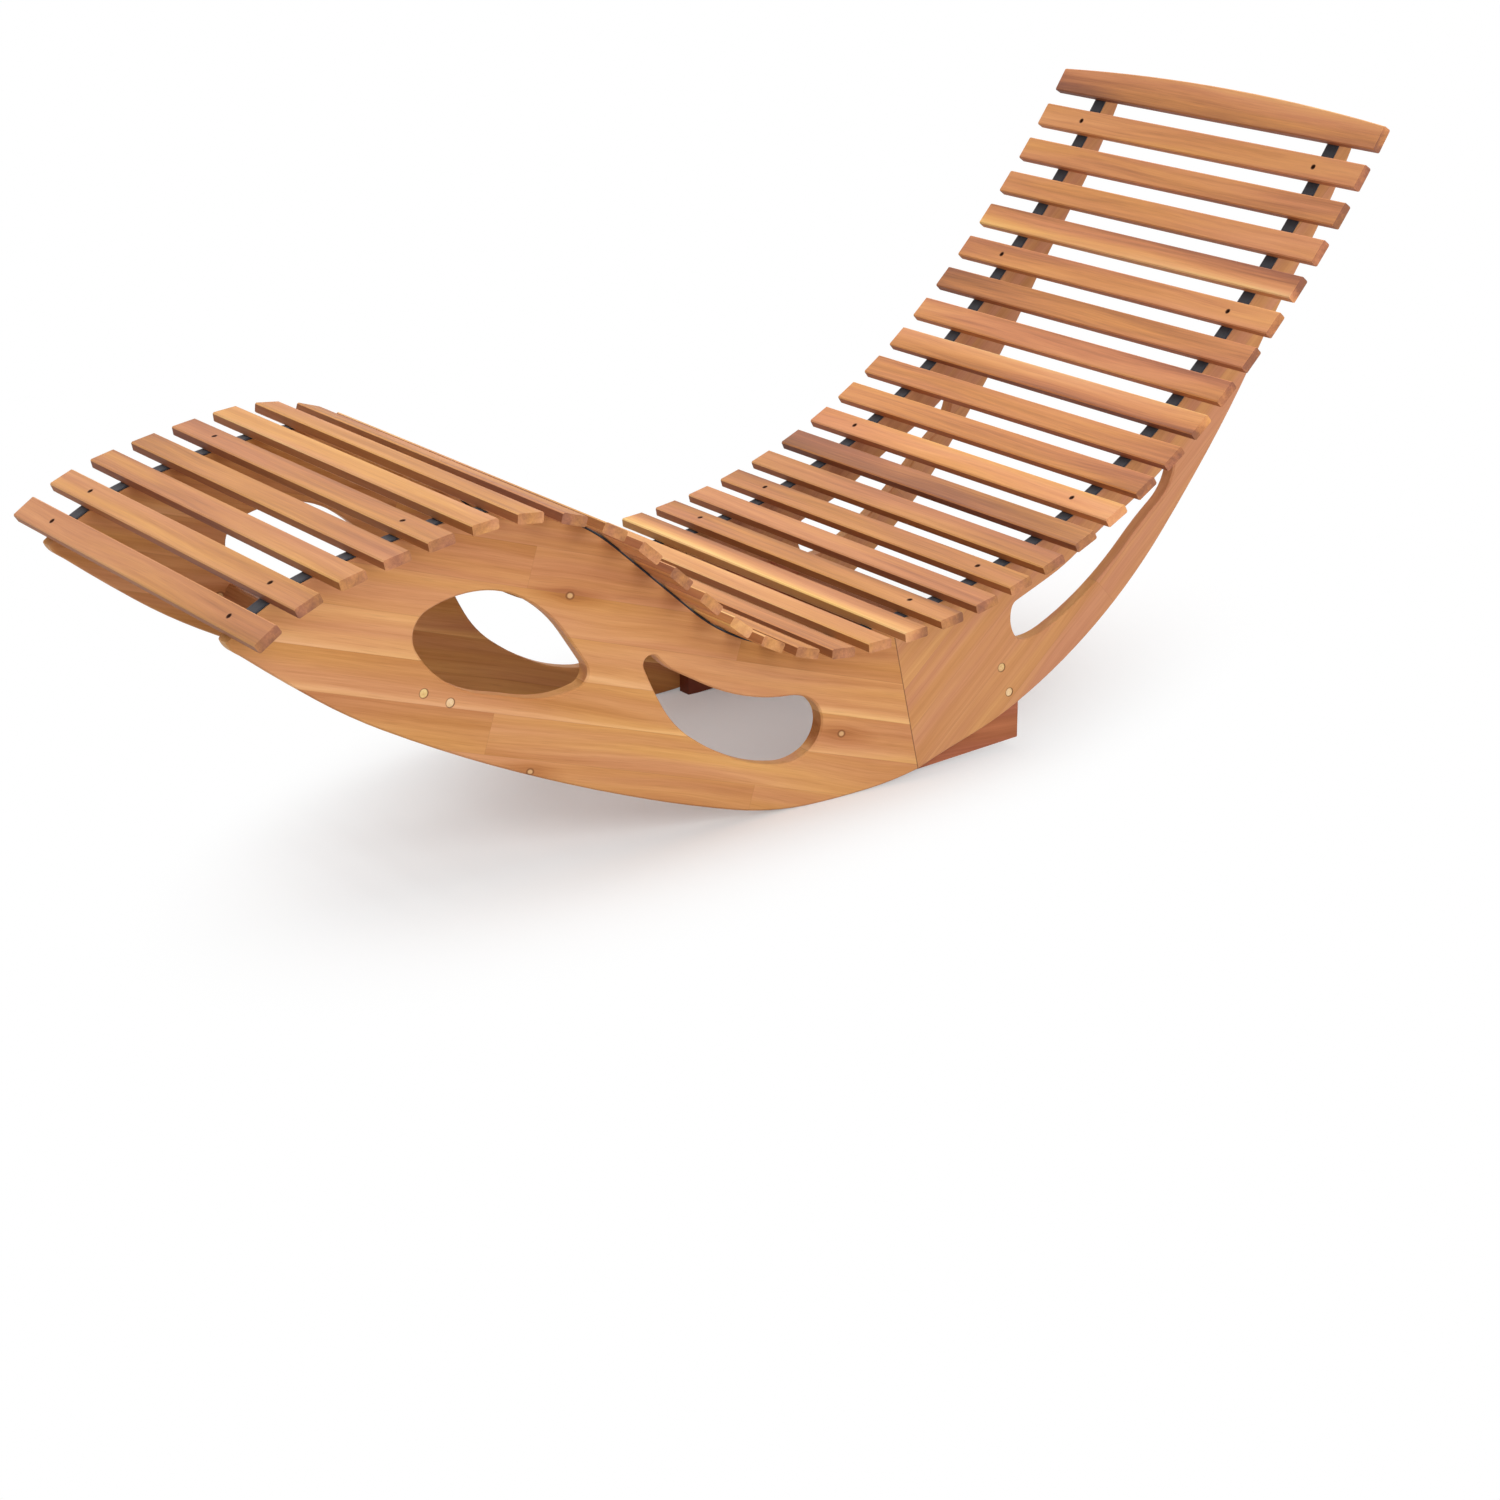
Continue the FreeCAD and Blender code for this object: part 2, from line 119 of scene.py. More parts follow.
class Graph:
    """Nodes of one material, made by short calls."""

    def __init__(self, name):
        self.material = bpy.data.materials.new(name)
        self.material.use_nodes = True
        self.nodes = self.material.node_tree.nodes
        self.links = self.material.node_tree.links
        self.shader = self.nodes["Principled BSDF"]

    def put(self, socket, value):
        """Links a socket, or sets a constant."""
        if isinstance(value, bpy.types.NodeSocket):
            self.links.new(value, socket)
        else:
            socket.default_value = value

    def add(self, kind, values=(), **settings):
        node = self.nodes.new("ShaderNode" + kind)
        for key, value in settings.items():
            setattr(node, key, value)
        for key, value in dict(values).items():
            self.put(node.inputs[key], value)
        return node

    def math(self, operation, *values):
        return self.add("Math", dict(enumerate(values)), operation=operation).outputs[0]

    def dot(self, vector, axis):
        return self.add("VectorMath", {0: vector, 1: axis}, operation="DOT_PRODUCT").outputs["Value"]

    def join(self, x, y, z):
        return self.add("CombineXYZ", {0: x, 1: y, 2: z}).outputs[0]

    def noise(self, vector, scale=1.0, detail=2.0, roughness=0.5):
        return self.add("TexNoise", {"Vector": vector, "Scale": scale, "Detail": detail,
                                     "Roughness": roughness}).outputs["Fac"]

    def ramp(self, factor, stops, interpolation="LINEAR"):
        node = self.add("ValToRGB", {0: factor})
        node.color_ramp.interpolation = interpolation
        while len(node.color_ramp.elements) < len(stops):
            node.color_ramp.elements.new(1.0)
        for element, (position, shade) in zip(node.color_ramp.elements, stops):
            element.position = position
            element.color = (*shade, 1.0)
        return node.outputs[0]

    def table(self, factor, values):
        """Value of a table in equal steps of a factor from 0 to 1; the values lie from 0 to 1."""
        stops = [(n / len(values), (value,) * 3) for n, value in enumerate(values)]
        return self.ramp(factor, stops, "CONSTANT")

    def mix(self, factor, a, b, blend="MIX"):
        node = self.add("Mix", data_type="RGBA", blend_type=blend)
        for key, value in ((0, factor), (6, a), (7, b)):
            self.put(node.inputs[key], value)
        return node.outputs[2]

    def between(self, value, low, high, to_low=0.0, to_high=1.0, **settings):
        values = {0: value, 1: low, 2: high, 3: to_low, 4: to_high}
        return self.add("MapRange", values, **settings).outputs[0]

    def total(self, first, *others):
        """Sum of sockets and numbers."""
        for value in others:
            first = self.math("ADD", first, value)
        return first

    def largest(self, values):
        """Largest of some sockets, or None where there is none."""
        result = None
        for value in values:
            result = value if result is None else self.math("MAXIMUM", result, value)
        return result

    def length(self, a, b):
        """Length of the vector of two sockets."""
        return self.math("SQRT", self.math("MULTIPLY_ADD", a, a, self.math("MULTIPLY", b, b)))

    def swing(self, value, span):
        """A value from 0 to 1, spread over a span with its middle at 0."""
        return self.math("MULTIPLY_ADD", value, span, -0.5 * span)

    def bump(self, height, strength, distance):
        values = {"Strength": strength, "Distance": distance, "Height": height}
        self.put(self.shader.inputs["Normal"], self.add("Bump", values).outputs[0])


def colour(red, green, blue):
    """Linear colour of an sRGB one given from 0 to 255."""
    return tuple((c / 255 / 12.92) if c < 10 else ((c / 255 + 0.055) / 1.055) ** 2.4
                 for c in (red, green, blue))


def colours(*shades):
    return [colour(*shade) for shade in shades]


def opaque(shade):
    return (*shade, 1.0)


def grain_axes(angle):
    """Unit vectors along the grain, across it in the board's face, and through the board."""
    turn = math.radians(angle)
    return (math.cos(turn), 0, math.sin(turn)), (-math.sin(turn), 0, math.cos(turn)), (0, 1, 0)


# Noises of the wood, all of one roughness: how fine they are along and across the grain, per metre, and
# their detail
NOISE_ROUGHNESS = 0.55
BEND, ZONE, BAND, STREAK = (3.0, 9.0, 1.0), (1.7, 24.0, 1.0), (3.6, 105.0, 3.0), (9.0, 420.0, 3.0)
FIBRE, PORE, HUE = (40.0, 1700.0, 2.0), (28.0, 1000.0, 0.0), (2.2, 34.0, 1.0)
# Shifts that keep the noises of single staves, and those of pores and hues, from looking alike
STAVE_SHIFT, PORE_SHIFT, HUE_SHIFT = 7.31, 3.3, 5.7
# How far bands, streaks, fibres and rings swing the level of a wood of full figure
BAND_SWING, STREAK_SWING, FIBRE_SWING, RING_SWING = 0.85, 0.5, 0.32, -0.10
# Growth rings: the pith's depth below the piece and how far that varies from piece to piece, how far the
# pith wanders across with the zones and from stave to stave, all in metres; what a seed is multiplied by
# for the depth; the rings' width, and how many rings the bands push them
PITH_DEPTH, PITH_SPREAD, PITH_WANDER, PITH_SWAY, PITH_TURN = 0.045, 0.013, 0.10, 0.03, 3.7
RING_WIDTH, RING_WAVE = 7.5, 1.4
# Knots, in units of their radius: how much longer they are than wide; the middle of the bark's ring, and
# how far from it the bark ends and is full; where the heart ends and is full
KNOT_LENGTH, BARK_MIDDLE, BARK_REACH, HEART_REACH = 1.25, 0.85, (0.34, 0.06), (0.85, 0.5)
# The dark halo, which is drawn out along the grain: the share of a length along it that counts, where
# the halo ends and is full, and its level; how far the grain is pushed aside, and how fast that fades
HALO_STRETCH, HALO_REACH, HALO_LEVEL, KNOT_PUSH, KNOT_FADE = 0.32, (3.4, 0.7), -0.3, -0.75, -0.10
# Tints between which the hue drifts, and the part of its noise over which it does
GOLDEN, ROSY, HUE_PART = (1.02, 1.04, 0.87), (0.98, 0.94, 1.07), (0.36, 0.64)
# The last of these colours serves both the painted shade round dowels' holes and in screws' recesses,
# and the dark line of the joint
PORE_COLOUR, SEAM_COLOUR, SHADE_AND_JOINT_COLOUR = colours((110, 62, 34), (120, 70, 38), (62, 34, 22))
HEART_COLOUR, BARK_COLOUR = colours((226, 182, 128), (112, 66, 36))
PORE_STRENGTH, SEAM_STRENGTH, HEART_STRENGTH, BARK_STRENGTH = 0.12, 0.18, 0.75, 0.7
# Parts of the noise over which pores show, and over which fibres go from smooth to rough, with the
# roughness of both ends
PORE_PART, FIBRE_PART, WOOD_ROUGHNESS, WOOD_SPECULAR = (0.62, 0.74), (0.3, 0.7), (0.5, 0.66), 0.25
# How square to the grain or to the broad faces a face has to be to count as end grain, as a narrow side
# or as a chamfer: where that starts and where it is full
END_FACING, SIDE_FACING, RIM_HIGHLIGHT_FACING = (0.75, 0.95), (0.45, 0.2), (0.97, 0.8)
# Heights of the bump, its strength, and its depth in metres
FIBRE_HEIGHT, STREAK_HEIGHT, PORE_HEIGHT, WOOD_BUMP = -0.6, -0.5, -2.0, (0.3, 0.0004)
# Half widths where the dark line of a joint is full and where it ends, and its strength
JOINT_FULL, JOINT_END, JOINT_STRENGTH = 0.4, 0.9, 0.6


def grain(g, place, offset, noise):
    """Noise drawn out along the grain, at a place of distances along, across and through."""
    along, across, through = place
    stretch, fineness, detail = noise
    vector = g.join(g.math("MULTIPLY_ADD", along, stretch, offset), g.math("MULTIPLY", across, fineness),
                    g.math("MULTIPLY", through, fineness))
    return g.noise(vector, detail=detail, roughness=NOISE_ROUGHNESS)


def painted_shade_spot(g, along, across, u, v, inner, outer, strength):
    """Mask of a round spot of painted shade: its place along and across, its radii and its strength."""
    far = g.length(g.math("SUBTRACT", along, u * MM), g.math("SUBTRACT", across, v * MM))
    return g.between(far, outer * MM, inner * MM, 0.0, strength)


def knotted(g, along, across, knots):
    """Distance across the grain as knots push it aside, and masks of their bark, heart and dark halo."""
    bark, heart, halo = [], [], []
    for u, v, radius in knots:
        du = g.math("MULTIPLY_ADD", along, 1 / (radius * MM * KNOT_LENGTH), -u / (radius * KNOT_LENGTH))
        dv = g.math("MULTIPLY_ADD", across, 1 / (radius * MM), -v / radius)
        far = g.length(du, dv)
        spread = g.math("EXPONENT", g.math("MULTIPLY", g.math("MULTIPLY", far, far), KNOT_FADE))
        push = g.math("MULTIPLY", spread, g.math("TANH", dv))
        across = g.math("ADD", across, g.math("MULTIPLY", push, KNOT_PUSH * radius * MM))
        bark.append(g.between(g.math("ABSOLUTE", g.math("SUBTRACT", far, BARK_MIDDLE)), *BARK_REACH))
        heart.append(g.between(far, *HEART_REACH))
        halo.append(g.between(g.length(g.math("MULTIPLY", du, HALO_STRETCH), dv), *HALO_REACH))
    return across, g.largest(bark), g.largest(heart), g.largest(halo)


def growth_rings(g, place, offset, seed, zone, band):
    """Rings about a pith that wanders below the piece, from 0 to 1 and back."""
    _, across, through = place
    sway = g.math("MULTIPLY_ADD", g.math("SINE", offset), PITH_SWAY, across)
    pith = g.math("MULTIPLY_ADD", zone, PITH_WANDER, sway)
    deep = g.math("ADD", through, PITH_DEPTH + PITH_SPREAD * math.sin(PITH_TURN * seed))
    pushed = g.math("MULTIPLY", band, RING_WAVE)
    count = g.math("MULTIPLY_ADD", g.length(pith, deep), 1 / (RING_WIDTH * MM), pushed)
    return g.math("PINGPONG", count, 1.0)


def wood(name, axes, tones, seed, level=None, staves=None, drift=0.8, figure=1.0, wave=0.03, knots=(),
         rim_highlight=0.0, side=0.0, ends=-0.14, side_shade=None, shade_spots=(), joint=None):
    """Oiled wood with its grain along the first axis and its broad faces square to the third one.

    Level and staves make sockets from the places along and across. The level goes from 0, the darkest
    tone, to 1; staves give a stave's number, its step of level and the mask of its seams. The level
    drifts in long zones. Bands, streaks, fibres and pores follow the grain, which waves and bends round
    the knots, and of the growth rings a trace shows; figure scales their contrast. Knots are places
    along and across, and radii. The rim is a painted highlight: how much lighter the chamfers are than
    the broad faces. Side and ends are how much lighter the narrow sides and the end grain are; on the
    boards the narrow sides take a painted highlight. The side tint multiplies the colour of the narrow
    sides as painted shade. The spots are round places of painted shade, given by their place along and
    across, their radii and strength. Joint is the normal of a dark line in the broad faces, and the
    line's distance along it.
    """
    g = Graph(name)
    point = g.add("TexCoord").outputs["Object"]
    along, across, through = (g.dot(point, axis) for axis in axes)
    start = 0.5 if level is None else level(g, along, across)
    offset, seam = seed, None
    if staves is not None:
        stave, step, seam = staves(g, along, across)
        offset = g.math("MULTIPLY_ADD", stave, STAVE_SHIFT, seed)
        start = g.math("ADD", step, start)
    # Round spots of painted shade, at the dowels' holes and in the screws' recesses
    shade_and_joint = [painted_shade_spot(g, along, across, *shade_spot) for shade_spot in shade_spots]
    across, bark, heart, halo = knotted(g, along, across, knots)
    bend = grain(g, (along, across, through), offset, BEND)
    place = along, g.math("ADD", across, g.swing(bend, wave)), through
    zone, band, streak, fibre = (grain(g, place, offset, noise) for noise in (ZONE, BAND, STREAK, FIBRE))
    pore = grain(g, place, g.math("ADD", offset, PORE_SHIFT), PORE)
    rings = growth_rings(g, place, offset, seed, zone, band)
    tone = g.total(start, g.swing(zone, drift), g.swing(band, BAND_SWING * figure),
                   g.swing(streak, STREAK_SWING * figure), g.swing(fibre, FIBRE_SWING * figure),
                   g.swing(rings, RING_SWING * figure))
    if halo is not None:
        tone = g.math("MULTIPLY_ADD", halo, HALO_LEVEL, tone)
    normal = g.add("NewGeometry").outputs["Normal"]
    facing = g.math("ABSOLUTE", g.dot(normal, axes[2]))
    end = g.between(g.math("ABSOLUTE", g.dot(normal, axes[0])), *END_FACING)
    narrow = g.math("MAXIMUM", g.math("SUBTRACT", g.between(facing, *SIDE_FACING), end), 0.0)
    # Painted highlight on the chamfers and, on the boards, on the narrow sides; the end grain is darker
    tone = g.total(tone, g.between(facing, *RIM_HIGHLIGHT_FACING, 0.0, rim_highlight), g.math("MULTIPLY", end, ends - rim_highlight),
                   g.math("MULTIPLY", narrow, side - rim_highlight))
    base = g.ramp(tone, [(n / (len(tones) - 1), shade) for n, shade in enumerate(tones)])
    hue = grain(g, place, g.math("ADD", offset, HUE_SHIFT), HUE)
    base = g.mix(1.0, base, g.ramp(hue, list(zip(HUE_PART, (GOLDEN, ROSY)))), "MULTIPLY")
    # Painted shade: the side tint darkens the narrow sides of the slats
    if side_shade is not None:
        base = g.mix(narrow, base, g.mix(1.0, base, opaque(side_shade), "MULTIPLY"))
    pores = g.math("MULTIPLY", g.between(pore, *PORE_PART), PORE_STRENGTH * figure)
    base = g.mix(pores, base, opaque(PORE_COLOUR))
    if seam is not None:
        base = g.mix(g.math("MULTIPLY", seam, SEAM_STRENGTH), base, opaque(SEAM_COLOUR))
    if bark is not None:
        base = g.mix(g.math("MULTIPLY", heart, HEART_STRENGTH), base, opaque(HEART_COLOUR))
        base = g.mix(g.math("MULTIPLY", bark, BARK_STRENGTH), base, opaque(BARK_COLOUR))
    if joint is not None:
        off = g.math("ABSOLUTE", g.math("ADD", g.dot(point, joint[0]), -joint[1] * MM))
        shade_and_joint.append(g.between(off, JOINT_END * MM, JOINT_FULL * MM, 0.0, JOINT_STRENGTH))
    # Painted shade of the spots, and the dark line of the joint
    if shade_and_joint:
        base = g.mix(g.largest(shade_and_joint), base, opaque(SHADE_AND_JOINT_COLOUR))
    g.put(g.shader.inputs["Base Color"], base)
    g.put(g.shader.inputs["Roughness"], g.between(fibre, *FIBRE_PART, *WOOD_ROUGHNESS))
    g.put(g.shader.inputs["Specular IOR Level"], WOOD_SPECULAR)
    height = g.math("MULTIPLY_ADD", streak, STREAK_HEIGHT, g.math("MULTIPLY", pores, PORE_HEIGHT))
    g.bump(g.math("MULTIPLY_ADD", fibre, FIBRE_HEIGHT, height), *WOOD_BUMP)
    return g.material


# Steps of level between single staves, as letters. A ramp holds no number below 0, so they are shifted
# d is painted shade, for a stave of the right front board that lies in shade under the seat
STAVE_STEPS = {"h": 0.0, "l": 0.07, "p": -0.04, "r": -0.08, "y": 0.10, "d": -0.12}
STEP_SHIFT = 0.5
# A capital letter's stave has a band of pale sapwood along its lower edge: how much lighter it is, and
# the shares of the stave's width where it is still full and where it ends
SAPWOOD, SAPWOOD_FULL, SAPWOOD_END = 0.36, 0.03, 0.30
# Half widths where the dark line of a seam is full and where it ends
SEAM_FULL, SEAM_END = 0.1, 0.5


def glued_staves(start, width, low, high, rows):
    """Maker of rows of staves glued edge to edge: where the two of each row are butted, and a letter for
    each. Start is the first row's lower edge; low and high are the ends of the lengths that occur."""
    def make(g, along, across):
        place = g.math("MULTIPLY_ADD", across, 1 / (width * MM), -start / width)
        row, within = g.math("FLOOR", place), g.math("FRACT", place)
        share = g.math("MULTIPLY_ADD", along, 1 / ((high - low) * MM), -low / (high - low))
        count = len(rows)
        butts = g.table(g.math("MULTIPLY_ADD", row, 1 / count, 0.5 / count),
                        [(butt - low) / (high - low) for butt, _ in rows])
        stave = g.math("MULTIPLY_ADD", row, 2.0, g.math("GREATER_THAN", share, butts))
        letters = [letter for _, pair in rows for letter in pair]
        which = g.math("MULTIPLY_ADD", stave, 0.5 / count, 0.25 / count)
        step = g.table(which, [STAVE_STEPS[letter.lower()] + STEP_SHIFT for letter in letters])
        pale = g.table(which, [float(letter.isupper()) for letter in letters])
        edge = g.between(within, SAPWOOD_END, SAPWOOD_FULL, 0.0, SAPWOOD)
        step = g.math("ADD", step, g.math("MULTIPLY", pale, edge))
        side = g.math("ABSOLUTE", g.math("SUBTRACT", within, 0.5))
        gap = g.math("ABSOLUTE", g.math("SUBTRACT", share, butts))
        seam = g.largest((g.between(side, 0.5 - SEAM_END / width, 0.5 - SEAM_FULL / width),
                          g.between(gap, SEAM_END / (high - low), SEAM_FULL / (high - low))))
        return stave, g.math("SUBTRACT", step, STEP_SHIFT), seam
    return make


STAVE_WIDTH = 47
# Of each kind of board: the angle of its grain, the first row's lower edge, the ends of the lengths that
# occur along the grain, how far its wood drifts, its figure and its tones
FRAME_BOARDS = {
    "front": (-17, -43, -1000, 250, 0.5, 0.75, colours(
        (162, 100, 56), (190, 126, 74), (207, 145, 91), (221, 162, 106), (236, 182, 128))),
    "rear": (42.5, -118, -50, 1200, 0.4, 0.6, colours(
        (158, 98, 62), (186, 124, 82), (203, 142, 98), (217, 160, 112), (232, 180, 132)))}
# Rows of staves in each board: where its two staves meet, and a letter for each
STAVE_ROWS = {
    ("left", "front"): [(-130, "hl"), (-505, "rl"), (230, "HP"), (240, "YH"), (-200, "lp"),
                        (-501, "rh"), (-980, "lh")],
    # The d stave of the second row is painted shade
    ("right", "front"): [(-890, "lh"), (-60, "pd"), (-900, "hP"), (-610, "yh"), (320, "Hp"),
                         (-415, "rl"), (-40, "hl")],
    ("left", "rear"): [(420, "hp"), (800, "hl"), (560, "ph"), (1100, "hl"), (360, "lh")],
    ("right", "rear"): [(450, "lh"), (1190, "hl"), (650, "ph"), (890, "hl"), (510, "hp")]}
# Knots of each board: place along and across the grain, and radius
KNOTS = {
    ("left", "front"): ((-444, 190.8, 4.5), (-23, 76.5, 4.5), (-441, -9.5, 4)),
    ("right", "front"): ((-250, 120, 4.5), (-620, 60, 5)),
    ("left", "rear"): ((560, 40, 4),),
    ("right", "rear"): ((420, -30, 5),)}
BOARD_SEEDS = {("left", "front"): 1.3, ("right", "front"): 4.9, ("left", "rear"): 3.5,
               ("right", "rear"): 7.1}
# Painted highlights on the boards, as levels above their broad faces: on the chamfers and on the narrow
# sides
BOARD_RIM_HIGHLIGHT, BOARD_SIDE_HIGHLIGHT = 0.03, 0.35

# Rails: middle and tilt. Two dowels hold each of their ends in the board of the same name. Round a
# dowel's hole the board takes a ring of painted shade: its inner and outer radius, and its strength
RAILS = {"front": (-538, 227, -27.5), "rear": (246, 100, -68.8)}
DOWEL_SPACING, DOWEL_SHADE = 36, (5.0, 6.4, 0.75)
# The joint between front and rear board: a point low on it, and its place on the seat line
JOINT_LOW, JOINT_TOP = (115, 12), 101


def line_through(low, high):
    """Normal of the line through two points (x, z), and the line's distance along it."""
    length = math.dist(low, high)
    normal = ((high[1] - low[1]) / length, 0, (low[0] - high[0]) / length)
    return normal, low[0] * normal[0] + low[1] * normal[2]


BOARD_JOINT = line_through(JOINT_LOW, seat_state(JOINT_TOP)[:2])


def dowel_shades(angle, x, z, tilt):
    """Spots of painted shade round the dowels' holes, in the axes of a board's grain."""
    along, across, _ = grain_axes(angle)
    shade_rings = []
    for way in (-0.5, 0.5):
        u = x + way * DOWEL_SPACING * math.cos(math.radians(tilt))
        v = z + way * DOWEL_SPACING * math.sin(math.radians(tilt))
        shade_rings.append((u * along[0] + v * along[2], u * across[0] + v * across[2], *DOWEL_SHADE))
    return shade_rings


def frame_wood(side, board):
    """Stave-glued board, with painted shade round the dowels' holes and a dark line in the joint between
    front and rear.
    """
    angle, start, low, high, drift, figure, tones = FRAME_BOARDS[board]
    staves = glued_staves(start, STAVE_WIDTH, low, high, STAVE_ROWS[side, board])
    return wood("%s_%s_wood" % (side, board), grain_axes(angle), tones, BOARD_SEEDS[side, board],
                staves=staves, drift=drift, figure=figure, knots=KNOTS[side, board], rim_highlight=BOARD_RIM_HIGHLIGHT,
                side=BOARD_SIDE_HIGHLIGHT, shade_spots=dowel_shades(angle, *RAILS[board]), joint=BOARD_JOINT)


# Levels of the slats' wood: mauve, red, orange, tan, golden, yellow. Each slat, counted from the foot,
# goes from the first letter at the lounger's right to the second at its left
SLAT_LEVELS = {"m": 0.10, "r": 0.32, "o": 0.46, "t": 0.54, "g": 0.74, "y": 0.97}
SLAT_WOODS = ("or tr ro ro ro tt tt rr to gt or tt og ro mr tr gt tt rr tr ro or mr og or rr oo or mr "
              "rt oo oo or oo mt").split()
# Slats that are darker or lighter towards the head than towards the foot
SLAT_SLOPES = {4: -0.15, 7: 0.15, 18: -0.75, 19: -0.45, 21: -0.25, 23: 0.25, 26: -0.15, 27: 0.6,
               28: -0.15, 31: -0.9, 32: -0.15, 34: -0.15, 35: 0.5}
SLAT_TONES = colours((142, 94, 70), (174, 116, 80), (203, 140, 92), (220, 158, 104), (236, 178, 118),
                     (250, 206, 138))
# The slats of the back, from BACK_SLATS on, are of a redder wood, whose tones are also lighter as
# painted light for tops that face away from the lamps; from HEAD_SLATS on their chamfers take less
# painted highlight and their ends are darker, as painted shade
BACK_SLATS, HEAD_SLATS = 24, 29
BACK_TONES = colours((152, 98, 72), (190, 124, 84), (220, 149, 98), (236, 167, 110), (248, 186, 124),
                     (254, 208, 140))
# Painted highlight on the chamfers, and the level of the end grain, of the slats and of the head slats
SLAT_RIM_HIGHLIGHT, SLAT_ENDS, HEAD_RIM_HIGHLIGHT, HEAD_ENDS = 0.25, -0.14, 0.05, -0.32
# Painted shade on the slats' narrow sides, by which their colour is multiplied
SLAT_SIDE_SHADE = (0.66, 0.54, 0.47)
# The first slat's seed is one step more than this
SLAT_SEED, SEED_STEP = 0.7, 1.618
# Painted shade in the recesses of the screws: inner and outer radius, and strength
RECESS_SHADE = (3.0, 4.2, 0.9)


def slat_wood(number):
    """Wood of one slat, whose level changes from end to end and may slope across it."""
    x, z, heading, _ = seat_state(slat_place(number))
    across, through, _ = grain_axes(math.degrees(heading))
    middle = (x * across[0] + z * across[2]) * MM
    right_end = 0.5 * SLAT_LENGTH * MM
    right_level, left_level = (SLAT_LEVELS[letter] for letter in SLAT_WOODS[number - 1])
    slope = SLAT_SLOPES.get(number, 0.0) / (SLAT_WIDTH * MM)

    def level(g, along, place):
        return g.math("MULTIPLY_ADD", place, slope,
                      g.between(along, right_end, -right_end, right_level - middle * slope,
                                left_level - middle * slope))
    shade_spots = []
    # Painted shade in the recesses of the screws
    if number in SCREWED_SLATS:
        shade_spots = [(side * FRAME_MIDDLE, middle / MM, *RECESS_SHADE) for _, side in SIDES]
    rim_highlight, ends = (SLAT_RIM_HIGHLIGHT, SLAT_ENDS) if number < HEAD_SLATS else (HEAD_RIM_HIGHLIGHT, HEAD_ENDS)
    return wood("slat_wood_%02d" % number, ((0, 1, 0), across, through),
                SLAT_TONES if number < BACK_SLATS else BACK_TONES, SLAT_SEED + SEED_STEP * number, level,
                drift=0.65, figure=0.6, wave=0.015, rim_highlight=rim_highlight, ends=ends, side_shade=SLAT_SIDE_SHADE,
                shade_spots=shade_spots)


# How fine the webbing's yarns are along X, Y and Z, the dust on it and the wear of the screws, per metre
YARN_FINENESS, DUST_FINENESS, WEAR_FINENESS = (900, 2600, 900), 35.0, 900.0
YARN_DARK, YARN_LIGHT, DUST_COLOUR = colours((18, 20, 27), (42, 45, 56), (66, 66, 70))
STEEL_DARK, STEEL_WORN = colours((38, 32, 30), (104, 92, 82))


def webbing():
    """Black polyester webbing: faint sheen and dust, and a woven bump finer than the modelled ribs."""
    g = Graph("black_webbing")
    point = g.add("TexCoord").outputs["Object"]
    fine = g.add("VectorMath", {0: point, 1: YARN_FINENESS}, operation="MULTIPLY").outputs[0]
    yarn = g.noise(fine, detail=2.0)
    dust = g.noise(point, scale=DUST_FINENESS, detail=3.0)
    base = g.mix(yarn, opaque(YARN_DARK), opaque(YARN_LIGHT))
    base = g.mix(g.between(dust, 0.45, 0.8, 0.0, 0.2), base, opaque(DUST_COLOUR))
    g.put(g.shader.inputs["Base Color"], base)
    g.put(g.shader.inputs["Roughness"], g.between(yarn, 0.2, 0.8, 0.6, 0.8))
    g.put(g.shader.inputs["Sheen Weight"], 0.15)
    g.bump(yarn, strength=0.4, distance=0.0003)
    return g.material


def screw_steel():
    """Black passivated steel, a little worn."""
    g = Graph("screw_steel")
    point = g.add("TexCoord").outputs["Object"]
    wear = g.noise(point, scale=WEAR_FINENESS, detail=3.0)
    base = g.mix(g.between(wear, 0.4, 0.75), opaque(STEEL_DARK), opaque(STEEL_WORN))
    g.put(g.shader.inputs["Base Color"], base)
    g.put(g.shader.inputs["Metallic"], 0.85)
    g.put(g.shader.inputs["Roughness"], g.between(wear, 0.3, 0.7, 0.35, 0.55))
    return g.material


def mesh_data(name, mesh):
    """The mesh data of a bmesh, which is freed."""
    data = bpy.data.meshes.new(name)
    mesh.to_mesh(data)
    mesh.free()
    return data


def piece(name, data, material):
    """Object that rides on the root body, with the given material."""
    thing = bpy.data.objects.new(name, data)
    bpy.context.scene.collection.objects.link(thing)
    data.materials.append(material)
    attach(thing, "root")
    return thing


# Webbing: strips across each face, whose edges rise as ribs by turns, and a rib's length along it. The
# selvedge thins from a share of the half width on; as shares of the half thickness, how much it thins,
# and the heights of the face and of a rib on it
RIB_COLUMNS, RIB_LENGTH = 12, 3.0
SELVEDGE_START, SELVEDGE_THIN, STRAP_FACE, RIB_HEIGHT = 0.86, 0.5, 0.94, 0.06


def strap_section(rib):
    """Webbing's cross-section: rounded selvedges, and columns of ribs that stand proud by turns."""
    half, rise = STRAP_WIDTH / 2, STRAP_THICKNESS / 2
    points = []
    for face in (-1, 1):
        for n in range(RIB_COLUMNS + 1):
            y = face * -half * (1 - 2 * n / RIB_COLUMNS)
            past = max(abs(y) / half - SELVEDGE_START, 0) / (1 - SELVEDGE_START)
            z = rise * (STRAP_FACE - SELVEDGE_THIN * past)
            if 0 < n < RIB_COLUMNS:
                z += RIB_HEIGHT * rise * (rib if n % 2 else 1 - rib)
            points.append((y, face * z))
    return points


